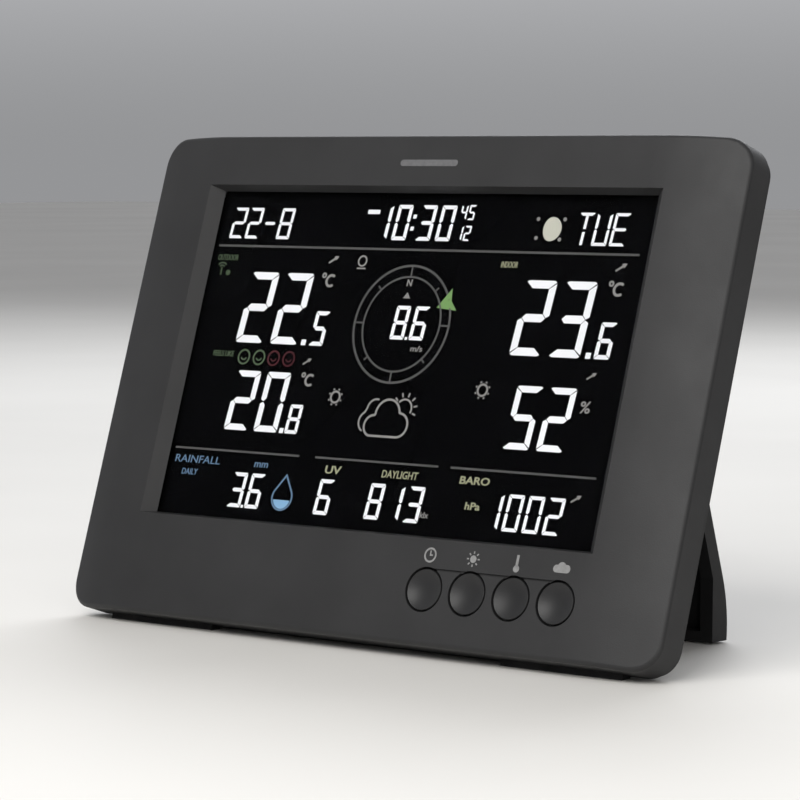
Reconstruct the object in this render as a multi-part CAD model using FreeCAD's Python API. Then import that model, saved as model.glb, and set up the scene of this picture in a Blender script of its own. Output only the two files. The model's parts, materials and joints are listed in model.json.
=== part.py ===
"""Home weather station: a desk console with a wide display and a fold-out stand.

Every piece is drawn in console coordinates, with the console upright: x to the
viewer's right, y from the front to the rear, z up the face, and y = 0 in the plane
where the side walls start. place() then leans the console back on its feet and moves
it to the row frame, whose origin is the bottom centre of the whole object.
"""
import FreeCAD, Part
import math
import os

from FreeCAD import Vector

# ---- driving dimensions, mm and degrees --------------------------------------
WIDTH = 202.0
HEIGHT = 138.0
DEPTH = 38.0
LEAN = 18.1                 # backward lean of the face on the table
TABLE_DROP = 2.6            # table level below the console's own bottom edge

CORNER_R = 8.0              # outline corners
FACE_Y = -4.9               # front plane of the face
CROWN_R = 94.0              # left and right margins curve back on this radius
CROWN_X = 73.5              # where the curved margins start
WALL = 2.5
EDGE_R = 1.2
PARTING_Y = 7.0             # front and rear shells meet here
REAR_Y = FACE_Y + DEPTH     # rear face

# display opening and stack
OPENING = (78.1, 28.0, 123.5)       # half width, bottom, top at the face
OPENING_BASE = (74.8, 29.0, 122.5)  # the same at the window
WINDOW_Y = -1.5
WINDOW_T = 1.0
WINDOW = (77.3, 26.9, 124.8)
PANEL = (76.5, 27.5, 124.2)
PANEL_Y = -0.2
PANEL_T = 2.2
GUIDE = (74.8, 29.2, 122.6)
GUIDE_Y = 2.2
GUIDE_T = 2.5
SHEET_T = 0.3
FRAME_Y = (0.0, 6.2)
FRAME = (79.3, 25.0, 126.8)
FRAME_SCREW_X = 82.6
FRAME_SCREW_Z = (36.0, 116.0)
FRAME_TAB_Y = (3.0, 5.0)
FRAME_TAB = (3.2, 4.0)              # reach past the screw and half height of a tab
FRAME_POST_R = 2.0                  # posts that carry the main board
WINDOW_R = 1.5
PANEL_LEDGE = 3.0                   # strip of the rear glass with the contacts
LED_BOARD = (72.0, 3.0, 0.7)        # half length, depth, gap to the light guide
LED_SIZE = (2.8, 1.4, 0.6)
LED_COUNT = 12
LED_PITCH = 12.0
FLEX_HALF = 18.0
FLEX_START = 1.3                    # offset from the panel's front and top
FLEX_REAR_Y = 7.4
FLEX_PLUG_Z = 100.0

# front buttons
BUTTON_X = (27.2, 41.3, 55.4, 69.5)
BUTTON_Z = 14.6
BUTTON_R = 5.45
BUTTON_HOLE_R = 6.0
BUTTON_TRAVEL = 0.8
BUTTON_DISH_R = 14.0
BUTTON_DISH = 1.1
BUTTON_FLANGE_R = 6.6
BUTTON_FLANGE_T = 1.0
BUTTON_PLUNGER_R = 1.5
GROOVE_Z = 20.0
GROOVE_W = 0.6
GROOVE_D = 0.6
BUTTON_BOARD = (12.0, 85.0, 6.5, 23.5)
BUTTON_BOARD_Y = 6.0
BUTTON_BOARD_SCREW_X = (15.5, 81.5)
SWITCH_SIDE = 6.0
SWITCH_H = 3.6
SWITCH_BEVEL = 0.3
ACTUATOR_R = 1.7
ACTUATOR_H = 0.75

# rear shell
FLANGE = (100.0, 1.0, 137.0)
FLANGE_T = 2.5
FLANGE_R = 7.0
BULGE_FRONT = (96.0, 2.0, 134.0)
BULGE_REAR = (79.0, 9.5, 122.0)
BULGE_R = 9.0
BULGE_EDGE_R = 2.5
BULGE_WALL = 2.6
REAR_WALL = 2.0
SCREW_PLACES = ((-90.0, 14.0), (90.0, 14.0), (-90.0, 124.0), (90.0, 124.0), (0.0, 131.0))
SCREW_SEAT_Y = 9.0
SCREW_HOLE_R = 1.5
SCREW_WELL_R = 3.1
SCREW_POST_R = 4.6

# screws as (head radius, head height, shank radius) and what they go into
HOUSING_SCREW = (2.4, 1.7, 1.2)
SMALL_SCREW = (1.8, 1.2, 0.85)
SMALL_HOLE_R = 1.1
SMALL_PILOT_R = 0.9
HOUSING_PILOT_R = 1.25
HOUSING_BOSS_R = 3.2
FRAME_BOSS_R = 2.8
BUTTON_BOSS_R = 2.6
HOUSING_SCREW_TIP_Y = 1.2
BOARD_SCREW_TIP_Y = 4.0
BUTTON_SCREW_TIP_Y = 1.6
FRAME_SCREW_TIP_Y = -0.8
PILOT_EXTRA = 0.6                   # pilot holes go this much deeper than the tips
SCREW_CROSS = (0.6, 0.13)           # reach and width of the recess, shares of the head
SCREW_DOME = 0.45
SCREW_POINT = 0.4

# stand
HINGE_Y = 30.3
HINGE_Z = 77.5
STAND_HALF = 71.7
STAND_SKIN = 2.0
STAND_OUT = 2.4             # outer skin from the hinge axis
STAND_OPEN = 36.3           # angle between stowed and open
STAND_BOW_U = 52.5          # where the skin starts to bow inwards
STAND_BOW_R = 42.0
STAND_FLARE_U = 51.0        # where the flanges start to deepen
FLANGE_W = 4.0
STAND_IN = 2.0              # inner face of the straight part, from the axis
STAND_FOOT_IN = 7.6         # inner edge of the foot
STAND_BAR = 2.6             # height of the bar along the foot
RIB_X = (-35.0, 0.0, 35.0)
RIB_HALF = 0.9
HEEL_X = (-55.0, -20.0, 20.0, 55.0)
HEEL = (5.0, 4.0)           # half width and height of the stops above the axis
PAD_X = (-62.0, 44.0)
PAD = (18.0, 4.4, 0.6)
PAD_BACK = 1.0
PIN_SEAT = 6.4
PIN_BEVEL = 0.3
PIN_BOSS = 4.0
PIN_R = 1.5
PIN_FIT = 0.06
PIN_GRIP = 0.02
PIN_X = (66.0, 77.6)
RECESS_HALF = 72.2
RECESS_TOP = 83.2
RECESS_FLOOR = 27.5
RECESS_DEEP = 21.9
RECESS_DEEP_Z = 30.0

# controls, bay and socket above the stand's recess
KNOB_X = (-50.0, -41.0)
KNOB_Z = 95.0
KNOB_R = 2.6
KNOB_PROUD = 0.6
KNOB_FLANGE = 1.0
KNOB_PLUNGER_R = 1.4
SLIDER_X = -26.0
SLIDER_Z = 95.0
SLIDER_TRAVEL = 3.0
SLIDER_CASE = (9.0, 5.5, 4.0)       # half width, depth, half height
SLIDER_ROOM = (6.5, 3.5, 2.1)
SLIDER_BLOCK = (3.2, 3.0, 1.9)
SLIDER_THUMB = (1.8, 1.2, 1.3)
SLIDER_PLAY = 0.3
SLIDER_GROOVE_X = (-1.0, 0.0, 1.0)
SLIDER_GROOVE = (0.4, 0.4)          # width and depth
BAY_X = 24.0
BAY_Z = 101.0
CELL_R = 10.0
CELL_T = 3.2
DOOR = (30.0, 28.0, 1.5)
DOOR_GAP = 0.2
DOOR_PAD = (6.0, 0.7)
GRIP_Z = (3.0, 4.6, 6.2)
GRIP = (6.0, 0.7, 0.5)
BAY_RIM = 1.5
CELL_ROOM = 1.0             # between the cell and the door
CELL_LIFT = 0.8             # between the cell and the bay's floor
CELL_STEP = (1.2, 0.3)      # inset and height of the cell's negative face
CELL_SLOT = (13.0, 3.5)
STRIP = (8.0, 1.5, 0.3)
FINGER = (3.0, 0.45)
CLIP = (0.4, 4.0, 2.5, 2.6)
JACK_X = -64.0
JACK_Z = 95.0
JACK_R = 2.8
JACK_BODY = (4.8, 13.0, 5.4)
JACK_DEPTH = 10.5
JACK_PIN = (1.0, 1.2)
KEYHOLE_X = (-50.0, 56.0)
KEYHOLE_Z = 110.0
KEYHOLE_R = 4.0
KEYHOLE_SLOT_R = 2.0
KEYHOLE_RISE = 7.0
VENT_X = (50.0, 53.5, 57.0, 60.5, 64.0, 67.5)
VENT_Z = (88.0, 102.0)
VENT_HALF = 0.8
SENSOR_POST = ((54.0, 66.0), 95.0, 1.2, 3.0)
SENSOR_CARD = (52.0, 68.0, 91.0, 99.0)
SENSOR_CARD_T = 1.0
SENSOR_CAP = (57.0, 61.0, 93.0, 97.0)
SENSOR_CAP_T = 1.4

# boards
BOARD = (79.0, 40.0, 108.0)
BOARD_Y = 8.0
BOARD_T = 1.6
BOARD_SCREW_X = 77.2
BOARD_SCREW_Z = (44.0, 104.0)
PLUG = (20.0, 0.6, 4.0)             # half width, depth and height of the display plug
CHIP = (10.0, 60.0, 14.0, 1.6)      # centre x and z, side, height
CHIP_LEGS = 12
CHIP_LEG_PITCH = 1.0
CHIP_LEG = (8.2, 0.4, 0.5)          # reach from the centre, width, height
RADIO = (-58.0, 68.0)
RADIO_CARD = (18.0, 14.0, 0.8)
RADIO_CAN = (14.0, 11.0, 2.8)
ANTENNA_X = -69.0
ANTENNA = (0.6, 1.5, 64.0, 126.0)   # radius, height above the board, z from and to
BUZZER = (45.0, 60.0, 6.0, 5.0)     # centre x and z, radius, height
BUZZER_HOLE = (1.0, 1.5)

FOOT_X = (50.0, 88.0)
FOOT_Y = (3.4, 6.8)
FOOT_SUNK = 0.8
GAP = 0.1
FIT = 0.2                   # play around the glass and the light guide
EDGE = 0.4                  # small broken edges
OVERLAP = 1.0               # how far joined shapes run into each other
EPS = 0.5                   # overshoot of cutting tools
SOLVER_STEPS = 20


# ---- helpers -----------------------------------------------------------------
def box(x0, x1, y0, y1, z0, z1):
    return Part.makeBox(x1 - x0, y1 - y0, z1 - z0, Vector(x0, y0, z0))


def rod_y(x, z, radius, y0, y1):
    return Part.makeCylinder(radius, y1 - y0, Vector(x, y0, z), Vector(0, 1, 0))


def rod_x(y, z, radius, x0, x1):
    return Part.makeCylinder(radius, x1 - x0, Vector(x0, y, z), Vector(1, 0, 0))


def rod_z(x, y, radius, z0, z1):
    return Part.makeCylinder(radius, z1 - z0, Vector(x, y, z0), Vector(0, 0, 1))


def fuse(shapes):
    first = shapes[0]
    return first.fuse(shapes[1:]).removeSplitter() if len(shapes) > 1 else first


def polygon(points):
    """Closed wire through points."""
    return Part.makePolygon([Vector(*p) for p in points] + [Vector(*points[0])])


def rounded_wire(half, z0, z1, radius, y):
    """Rounded rectangle in the plane of height y, as a wire."""
    flat = polygon([(-half, y, z0), (half, y, z0), (half, y, z1), (-half, y, z1)])
    solid = Part.Face(flat).extrude(Vector(0, 1, 0))
    upright = [e for e in solid.Edges if abs(e.Vertexes[0].Y - e.Vertexes[-1].Y) > EPS]
    rounded = solid.makeFillet(radius, upright)
    front = min(rounded.Faces, key=lambda f: f.CenterOfMass.y)
    return front.OuterWire


def rounded_block(half, z0, z1, radius, y0, y1):
    wire = rounded_wire(half, z0, z1, radius, y0)
    return Part.Face(wire).extrude(Vector(0, y1 - y0, 0))


def rounded_loft(front, rear, radius, y0, y1):
    """Tapered block between two rounded rectangles given as (half, z0, z1)."""
    return Part.makeLoft([rounded_wire(*front, radius, y0), rounded_wire(*rear, radius, y1)], True)


def mirrored(shape):
    return shape.mirror(Vector(0, 0, 0), Vector(1, 0, 0))


def both_sides(shape):
    return Part.makeCompound([shape, mirrored(shape)])


def screw(x, z, seat_y, tip_y, size):
    """Pan-head screw driven from the rear, with a cross recess."""
    head_r, head_h, shank_r = size
    head = rod_y(x, z, head_r, seat_y, seat_y + head_h)
    rim = [e for e in head.Edges if abs(e.CenterOfMass.y - seat_y - head_h) < GAP]
    head = head.makeFillet(head_h * SCREW_DOME, rim)
    arm = head_r * SCREW_CROSS[0]
    slot = head_r * SCREW_CROSS[1]
    depth = head_h / 2
    top = seat_y + head_h
    head = head.cut(box(x - arm, x + arm, top - depth, top + EPS, z - slot, z + slot))
    head = head.cut(box(x - slot, x + slot, top - depth, top + EPS, z - arm, z + arm))
    point = Part.makeCone(shank_r * SCREW_POINT, shank_r, shank_r, Vector(x, tip_y, z), Vector(0, 1, 0))
    return fuse([head, rod_y(x, z, shank_r, tip_y + shank_r, seat_y), point])


def face_profile(inset):
    """Section of the front shell seen from above, moved inwards by inset."""
    half = WIDTH / 2 - inset
    radius = CROWN_R - inset
    y = FACE_Y + inset
    swing = math.asin((half - CROWN_X) / radius)
    drop = radius * (1 - math.cos(swing))
    middle = swing / 2
    mid_x = CROWN_X + radius * math.sin(middle)
    mid_y = y + radius * (1 - math.cos(middle))
    low = Vector(0, 0, -EPS)

    def at(x, depth):
        return Vector(x, depth, 0) + low

    back = PARTING_Y if inset == 0 else PARTING_Y + EPS
    edges = [
        Part.LineSegment(at(-CROWN_X, y), at(CROWN_X, y)).toShape(),
        Part.Arc(at(CROWN_X, y), at(mid_x, mid_y), at(half, y + drop)).toShape(),
        Part.LineSegment(at(half, y + drop), at(half, back)).toShape(),
        Part.LineSegment(at(half, back), at(-half, back)).toShape(),
        Part.LineSegment(at(-half, back), at(-half, y + drop)).toShape(),
        Part.Arc(at(-half, y + drop), at(-mid_x, mid_y), at(-CROWN_X, y)).toShape(),
    ]
    return Part.Face(Part.Wire(edges)).extrude(Vector(0, 0, HEIGHT + 2 * EPS))


# ---- front shell and display stack -------------------------------------------
def front_body():
    """Outer form of the front shell, with softened front edges."""
    half = WIDTH / 2
    block = rounded_block(half, 0, HEIGHT, CORNER_R, FACE_Y - EPS, PARTING_Y)
    body = face_profile(0).common(block)
    rim = []
    for edge in body.Edges:
        centre = edge.BoundBox.Center
        at_side = abs(abs(centre.x) - half) < CORNER_R
        at_end = min(centre.z, HEIGHT - centre.z) < CORNER_R
        in_front = edge.BoundBox.YMax < PARTING_Y - EPS
        along_y = edge.BoundBox.YLength > EPS and edge.BoundBox.XLength < GAP
        if in_front and (at_side or at_end) and not along_y:
            rim.append(edge)
    return body.makeFillet(EDGE_R, rim)


def display_opening():
    """Sunk opening that narrows from the face to the window."""
    def rectangle(size, y):
        half, low, high = size
        return polygon([(-half, y, low), (half, y, low), (half, y, high), (-half, y, high)])
    rise = OVERLAP / (WINDOW_Y - FACE_Y)
    proud = [a + (a - b) * rise for a, b in zip(OPENING, OPENING_BASE)]
    inner = [b - (a - b) * rise for a, b in zip(OPENING, OPENING_BASE)]
    return Part.makeLoft([rectangle(proud, FACE_Y - OVERLAP),
                          rectangle(inner, WINDOW_Y + OVERLAP)], True)


def front_housing():
    inner_half = WIDTH / 2 - WALL
    hollow = rounded_block(inner_half, WALL, HEIGHT - WALL, CORNER_R - WALL,
                           FACE_Y, PARTING_Y + EPS)
    shell = front_body().cut(face_profile(WALL).common(hollow))
    inner_y = FACE_Y + WALL
    half, low, high = FRAME
    land = box(-half, half, inner_y - EPS, FRAME_Y[0] - GAP, low, high)
    adds = [shell, land]
    for side in (-1, 1):
        for z in FRAME_SCREW_Z:
            adds.append(rod_y(side * FRAME_SCREW_X, z, FRAME_BOSS_R, inner_y - EPS,
                              FRAME_TAB_Y[0]))
    for x in BUTTON_BOARD_SCREW_X:
        adds.append(rod_y(x, BUTTON_Z, BUTTON_BOSS_R, inner_y - EPS, BUTTON_BOARD_Y))
    for x, z in SCREW_PLACES:
        start = inner_y - EPS if abs(x) < CROWN_X else inner_y + OVERLAP
        adds.append(rod_y(x, z, HOUSING_BOSS_R, start, PARTING_Y))
    shell = fuse(adds)
    half, low, high = WINDOW
    cuts = [display_opening(),
            box(-half - GAP, half + GAP, WINDOW_Y, EPS, low - GAP, high + GAP)]
    for x in BUTTON_X:
        cuts.append(rod_y(x, BUTTON_Z, BUTTON_HOLE_R, FACE_Y - EPS, inner_y + EPS))
    cuts.append(box(BUTTON_X[0], BUTTON_X[-1], FACE_Y - EPS, FACE_Y + GROOVE_D,
                    GROOVE_Z - GROOVE_W / 2, GROOVE_Z + GROOVE_W / 2))
    for side in (-1, 1):
        for z in FRAME_SCREW_Z:
            cuts.append(rod_y(side * FRAME_SCREW_X, z, SMALL_PILOT_R,
                              FRAME_SCREW_TIP_Y - PILOT_EXTRA, FRAME_TAB_Y[0] + EPS))
    for x in BUTTON_BOARD_SCREW_X:
        cuts.append(rod_y(x, BUTTON_Z, SMALL_PILOT_R, BUTTON_SCREW_TIP_Y - PILOT_EXTRA,
                          BUTTON_BOARD_Y + EPS))
    for x, z in SCREW_PLACES:
        cuts.append(rod_y(x, z, HOUSING_PILOT_R, HOUSING_SCREW_TIP_Y - PILOT_EXTRA,
                          PARTING_Y + EPS))
    for side in (-1, 1):
        x0, x1 = sorted((side * FOOT_X[0], side * FOOT_X[1]))
        cuts.append(box(x0, x1, FOOT_Y[0], FOOT_Y[1], -EPS, FOOT_SUNK))
    return shell.cut(cuts)


def plate(size, y, thickness):
    half, low, high = size
    return box(-half, half, y, y + thickness, low, high)


def display_window():
    half, low, high = WINDOW
    return rounded_block(half, low, high, WINDOW_R, WINDOW_Y, WINDOW_Y + WINDOW_T)


def lcd_panel():
    """Two glass plates; the rear one stands proud at the top to carry the contacts."""
    half, low, high = PANEL
    glass = PANEL_T / 2
    front = box(-half, half, PANEL_Y, PANEL_Y + glass, low, high - PANEL_LEDGE)
    rear = box(-half, half, PANEL_Y + glass, PANEL_Y + PANEL_T, low, high)
    return fuse([front, rear])


def lcd_frame():
    half, low, high = FRAME
    body = box(-half, half, FRAME_Y[0], FRAME_Y[1], low, high)
    panel_half, panel_low, panel_high = PANEL
    guide_half, guide_low, guide_high = GUIDE
    body = body.cut([
        box(-panel_half - FIT, panel_half + FIT, -EPS, PANEL_Y + PANEL_T + GAP,
            panel_low - FIT, panel_high + FIT),
        box(-guide_half - FIT, guide_half + FIT, EPS, FRAME_Y[1] + EPS,
            panel_low - FIT, guide_high + FIT),
        box(-FLEX_HALF - EPS, FLEX_HALF + EPS, -EPS, FRAME_Y[1] + EPS,
            guide_high, PANEL[2] + FLEX_START + EPS)])
    adds = [body]
    for side in (-1, 1):
        reach, half_tab = FRAME_TAB
        x0, x1 = sorted((side * (half - OVERLAP), side * (FRAME_SCREW_X + reach)))
        for z in FRAME_SCREW_Z:
            adds.append(box(x0, x1, FRAME_TAB_Y[0], FRAME_TAB_Y[1], z - half_tab, z + half_tab))
        for z in BOARD_SCREW_Z:
            adds.append(rod_y(side * BOARD_SCREW_X, z, FRAME_POST_R, FRAME_Y[1], BOARD_Y))
    body = fuse(adds)
    holes = []
    for side in (-1, 1):
        for z in FRAME_SCREW_Z:
            holes.append(rod_y(side * FRAME_SCREW_X, z, SMALL_HOLE_R, FRAME_TAB_Y[0] - EPS,
                               FRAME_TAB_Y[1] + EPS))
        for z in BOARD_SCREW_Z:
            holes.append(rod_y(side * BOARD_SCREW_X, z, SMALL_PILOT_R,
                               BOARD_SCREW_TIP_Y - PILOT_EXTRA, BOARD_Y + EPS))
    return body.cut(holes)


def light_guide():
    return plate(GUIDE, GUIDE_Y, GUIDE_T)


def reflector_sheet():
    return plate(GUIDE, GUIDE_Y + GUIDE_T + GAP, SHEET_T)


def backlight_board():
    half, depth, gap = LED_BOARD
    return box(-half, half, GUIDE_Y + GAP, GUIDE_Y + depth, PANEL[1], GUIDE[1] - gap)


def backlight_leds():
    width, depth, height = LED_SIZE
    low = GUIDE[1] - LED_BOARD[2]
    front = GUIDE_Y + EDGE
    places = [(index - (LED_COUNT - 1) / 2) * LED_PITCH for index in range(LED_COUNT)]
    return Part.makeCompound([box(x - width / 2, x + width / 2, front, front + depth,
                                  low, low + height) for x in places])


def display_flex():
    """Flat cable from the display's top edge round to the main board."""
    low = PANEL[2] + GAP
    top = PANEL[2] + FLEX_START
    start = PANEL_Y + FLEX_START
    end = FLEX_REAR_Y
    plug_z = FLEX_PLUG_Z
    half = FLEX_HALF
    outline = [(-half, start, low), (-half, start, top), (-half, end, top),
               (-half, end, plug_z), (-half, end - SHEET_T, plug_z),
               (-half, end - SHEET_T, top - SHEET_T), (-half, start + SHEET_T, top - SHEET_T),
               (-half, start + SHEET_T, low)]
    return Part.Face(polygon(outline)).extrude(Vector(2 * half, 0, 0))


# ---- buttons and switches ----------------------------------------------------
def front_button(x):
    """Round cap with a dished face, a retaining flange and a plunger."""
    flange_y = FACE_Y + WALL + GAP
    cap = rod_y(x, BUTTON_Z, BUTTON_R, FACE_Y, flange_y)
    rim = [e for e in cap.Edges if abs(e.CenterOfMass.y - FACE_Y) < GAP]
    cap = cap.makeFillet(EDGE, rim)
    flange_end = flange_y + BUTTON_FLANGE_T
    flange = rod_y(x, BUTTON_Z, BUTTON_FLANGE_R, flange_y, flange_end)
    switch_tip = BUTTON_BOARD_Y - SWITCH_H - ACTUATOR_H
    plunger = rod_y(x, BUTTON_Z, BUTTON_PLUNGER_R, flange_end, switch_tip - BUTTON_TRAVEL - GAP)
    dish = Part.makeSphere(BUTTON_DISH_R,
                           Vector(x, FACE_Y + BUTTON_DISH - BUTTON_DISH_R, BUTTON_Z))
    return fuse([cap, flange, plunger]).cut(dish)


def tact_switch(x, z, seat_y, toward):
    """Square switch on a board; toward is +1 or -1, the way its actuator faces."""
    half = SWITCH_SIDE / 2
    far = seat_y + toward * SWITCH_H
    tip = far + toward * ACTUATOR_H
    body = box(x - half, x + half, min(seat_y, far), max(seat_y, far), z - half, z + half)
    rim = [e for e in body.Edges if abs(e.CenterOfMass.y - far) < GAP]
    body = body.makeChamfer(SWITCH_BEVEL, rim)
    return fuse([body, rod_y(x, z, ACTUATOR_R, min(far, tip), max(far, tip))])


def button_board():
    x0, x1, low, high = BUTTON_BOARD
    rear = BUTTON_BOARD_Y + BOARD_T
    board = box(x0, x1, BUTTON_BOARD_Y, rear, low, high)
    holes = [rod_y(x, BUTTON_Z, SMALL_HOLE_R, BUTTON_BOARD_Y - EPS, rear + EPS)
             for x in BUTTON_BOARD_SCREW_X]
    return board.cut(holes)


def rear_button(x):
    """Small round rear button with a flange behind the wall and a long plunger."""
    inner = REAR_Y - REAR_WALL
    cap = rod_y(x, KNOB_Z, KNOB_R, inner - GAP, REAR_Y + KNOB_PROUD)
    rim = [e for e in cap.Edges if abs(e.CenterOfMass.y - REAR_Y - KNOB_PROUD) < GAP]
    cap = cap.makeFillet(EDGE, rim)
    flange_y = inner - GAP - KNOB_FLANGE
    flange = rod_y(x, KNOB_Z, KNOB_R + KNOB_FLANGE, flange_y, inner - GAP)
    tip = rear_switch_tip() + BUTTON_TRAVEL + GAP
    plunger = rod_y(x, KNOB_Z, KNOB_PLUNGER_R, tip, flange_y)
    return fuse([cap, flange, plunger])


def rear_switch_tip():
    return BOARD_Y + BOARD_T + SWITCH_H + ACTUATOR_H


def slider_body():
    inner = REAR_Y - REAR_WALL
    body = slider_box(SLIDER_CASE, inner)
    return body.cut(slider_box(SLIDER_ROOM, inner))


def slider_box(size, rear):
    """Block centred on the slider, with its rear face at rear."""
    half, depth, half_height = size
    return box(SLIDER_X - half, SLIDER_X + half, rear - depth, rear,
               SLIDER_Z - half_height, SLIDER_Z + half_height)


def brightness_slider():
    """Slider block with a ribbed thumb that stands out of the rear face."""
    inner = REAR_Y - REAR_WALL
    half, proud, half_height = SLIDER_THUMB
    base = slider_box(SLIDER_BLOCK, inner - SLIDER_PLAY)
    thumb = box(SLIDER_X - half, SLIDER_X + half, inner - SLIDER_PLAY, REAR_Y + proud,
                SLIDER_Z - half_height, SLIDER_Z + half_height)
    knob = fuse([base, thumb])
    width, depth = SLIDER_GROOVE
    top = REAR_Y + proud
    grooves = [box(SLIDER_X + x - width / 2, SLIDER_X + x + width / 2, top - depth, top + EPS,
                   SLIDER_Z - half, SLIDER_Z + half) for x in SLIDER_GROOVE_X]
    return knob.cut(grooves)


# ---- boards and what they carry ----------------------------------------------
def main_board():
    """Board with edge notches, screw holes and the display connector."""
    board = plate(BOARD, BOARD_Y, BOARD_T)
    holes = [rod_y(side * BOARD_SCREW_X, z, SMALL_HOLE_R, BOARD_Y - EPS, BOARD_Y + BOARD_T + EPS)
             for side in (-1, 1) for z in BOARD_SCREW_Z]
    half, depth, height = PLUG
    connector = box(-half, half, BOARD_Y - depth, BOARD_Y, FLEX_PLUG_Z, FLEX_PLUG_Z + height)
    return fuse([board.cut(holes), connector])


def on_board(size, x, z):
    """Block of width, height and depth standing on the rear face of the main board."""
    width, height, depth = size
    seat = BOARD_Y + BOARD_T
    return box(x - width / 2, x + width / 2, seat, seat + depth, z - height / 2, z + height / 2)


def main_chip():
    """Flat square chip with a row of legs along each side."""
    x, z, side, height = CHIP
    reach, width, leg_height = CHIP_LEG
    chip = on_board((side, side, height), x, z)
    legs = []
    for index in range(CHIP_LEGS):
        step = (index - (CHIP_LEGS - 1) / 2) * CHIP_LEG_PITCH
        legs.append(on_board((width, 2 * reach, leg_height), x + step, z))
        legs.append(on_board((2 * reach, width, leg_height), x, z + step))
    return fuse([chip] + legs)


def radio_module():
    """Small board under a folded metal can."""
    card = on_board(RADIO_CARD, *RADIO)
    can = on_board(RADIO_CAN, *RADIO)
    top = BOARD_Y + BOARD_T + RADIO_CAN[2]
    can = can.makeFillet(EDGE, [e for e in can.Edges if abs(e.CenterOfMass.y - top) < GAP])
    return fuse([card, can])


def antenna():
    """Wire whip that rises from the radio module."""
    radius, lift, low, high = ANTENNA
    return rod_z(ANTENNA_X, BOARD_Y + BOARD_T + lift, radius, low, high)


def buzzer():
    seat = BOARD_Y + BOARD_T
    x, z, radius, height = BUZZER
    hole_r, depth = BUZZER_HOLE
    drum = rod_y(x, z, radius, seat, seat + height)
    return drum.cut(rod_y(x, z, hole_r, seat + height - depth, seat + height + EPS))


def climate_sensor():
    """Sensor card held on two posts behind the vents."""
    y = REAR_Y - REAR_WALL - SENSOR_POST[3]
    x0, x1, low, high = SENSOR_CARD
    card = box(x0, x1, y - SENSOR_CARD_T, y, low, high)
    x0, x1, low, high = SENSOR_CAP
    cap = box(x0, x1, y, y + SENSOR_CAP_T, low, high)
    return fuse([card, cap])


def dc_jack():
    inner = REAR_Y - REAR_WALL
    half, depth, below = JACK_BODY
    body = box(JACK_X - half, JACK_X + half, inner - depth, inner, JACK_Z - below, JACK_Z + half)
    return body.cut(rod_y(JACK_X, JACK_Z, JACK_R, inner - JACK_DEPTH, inner + EPS))


def dc_jack_pin():
    inner = REAR_Y - REAR_WALL
    radius, back = JACK_PIN
    pin = rod_y(JACK_X, JACK_Z, radius, inner - JACK_DEPTH, inner - back)
    tip = [e for e in pin.Edges if abs(e.CenterOfMass.y - inner + back) < GAP]
    return pin.makeFillet(EDGE, tip)


# ---- rear shell ---------------------------------------------------------------
def bulge_section(y, inset):
    """Half width, bottom and top of the rear bulge at depth y, moved inwards."""
    start = PARTING_Y + FLANGE_T
    share = (y - start) / (REAR_Y - start)
    half, low, high = [a + (b - a) * share for a, b in zip(BULGE_FRONT, BULGE_REAR)]
    return half - inset, low + inset, high - inset


def rear_body():
    start = PARTING_Y + FLANGE_T
    half, low, high = FLANGE
    flange = rounded_block(half, low, high, FLANGE_R, PARTING_Y, start)
    bulge = rounded_loft(bulge_section(start, 0), BULGE_REAR, BULGE_R, start, REAR_Y)
    rim = [e for e in bulge.Edges if e.BoundBox.YMin > REAR_Y - GAP]
    bulge = bulge.makeFillet(BULGE_EDGE_R, rim)
    return flange, bulge


def stand_recess():
    """Space that the folded stand lies in, open to the rear and below."""
    shallow = box(-RECESS_HALF, RECESS_HALF, RECESS_FLOOR, REAR_Y + EPS, -EPS, RECESS_TOP)
    deep = box(-RECESS_HALF, RECESS_HALF, RECESS_DEEP, REAR_Y + EPS, -EPS, RECESS_DEEP_Z)
    return fuse([shallow, deep])


def recess_walls():
    side = RECESS_HALF + REAR_WALL
    back = REAR_WALL
    shallow = box(-side, side, RECESS_FLOOR - back, REAR_Y, 0, RECESS_TOP + REAR_WALL)
    deep = box(-side, side, RECESS_DEEP - back, REAR_Y, 0, RECESS_DEEP_Z + back)
    bosses = both_sides(box(side - OVERLAP, PIN_X[1], HINGE_Y - PIN_BOSS, REAR_Y - EPS,
                            HINGE_Z - PIN_BOSS, HINGE_Z + PIN_BOSS))
    return fuse([shallow, deep] + bosses.Solids)


def bay_size():
    return BAY_X - DOOR[0] / 2, BAY_X + DOOR[0] / 2, BAY_Z - DOOR[1] / 2, BAY_Z + DOOR[1] / 2


def bay_floor():
    return REAR_Y - DOOR[2] - CELL_ROOM - CELL_T - CELL_LIFT


def rear_housing():
    flange, bulge = rear_body()
    inner_front = bulge_section(PARTING_Y, BULGE_WALL)
    inner_rear = bulge_section(REAR_Y - REAR_WALL, BULGE_WALL)
    hollow = rounded_loft(inner_front, inner_rear, BULGE_R - REAR_WALL, PARTING_Y,
                          REAR_Y - REAR_WALL)
    body = fuse([flange, bulge])
    shell = body.cut(hollow)
    x0, x1, z0, z1 = bay_size()
    floor = bay_floor()
    adds = [shell, recess_walls().common(bulge),
            box(x0 - BAY_RIM, x1 + BAY_RIM, floor - BAY_RIM, REAR_Y - OVERLAP,
                z0 - BAY_RIM, z1 + BAY_RIM)]
    for x, z in SCREW_PLACES:
        adds.append(rod_y(x, z, SCREW_POST_R, PARTING_Y, REAR_Y).common(body))
    post_x, post_z, post_r, post_length = SENSOR_POST
    for x in post_x:
        adds.append(rod_y(x, post_z, post_r, REAR_Y - REAR_WALL - post_length,
                          REAR_Y - OVERLAP))
    shell = fuse(adds)
    return shell.cut(rear_cuts(x0, x1, z0, z1, floor))


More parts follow.
